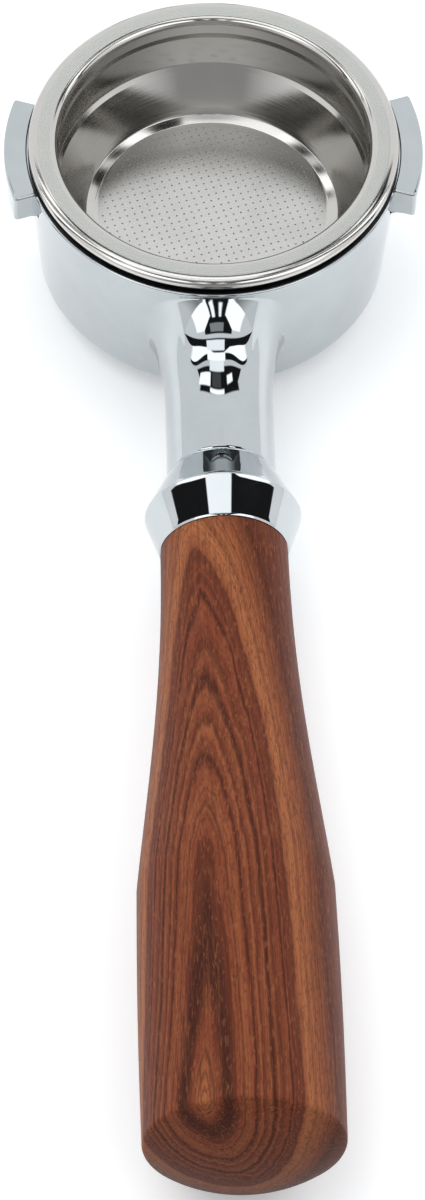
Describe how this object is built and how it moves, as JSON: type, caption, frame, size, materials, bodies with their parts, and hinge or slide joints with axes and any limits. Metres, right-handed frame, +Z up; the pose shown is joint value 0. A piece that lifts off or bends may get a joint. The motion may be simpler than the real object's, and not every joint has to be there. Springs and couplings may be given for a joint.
{
  "type": "portafilter",
  "caption": "Bottomless espresso portafilter: chromed bowl with locking lugs, lift-out perforated basket and turned wooden handle.",
  "frame": {"origin": "basket axis at the rim's sealing plane", "axes": "+Z up out of the basket towards the group head, handle along -Y, locking lugs on +X and -X"},
  "size_m": [0.0792, 0.2423, 0.0373],
  "materials": {
    "chromed_brass": "mirror chrome over cast brass",
    "stainless": "polished stainless sheet with a satin rim",
    "spring_wire": "drawn spring wire",
    "zinc_steel": "zinc-plated steel",
    "chromed_ferrule": "mirror chrome, turned",
    "brass": "machined brass",
    "rosewood": "oiled rosewood with a satin lacquer"
  },
  "bodies": {
    "holder": {"body": "chromed_brass", "basket_spring": "spring_wire", "handle_stud": "zinc_steel", "lock_washer": "zinc_steel", "ferrule": "chromed_ferrule", "handle_insert": "brass", "wood_handle": "rosewood"},
    "basket": {"filter_basket": "stainless"}
  },
  "joints": [
    {"name": "basket_lift", "type": "slide", "parent": "holder", "child": "basket", "axis": [0, 0, 1], "range_m": [0, 0.04]}
  ]
}
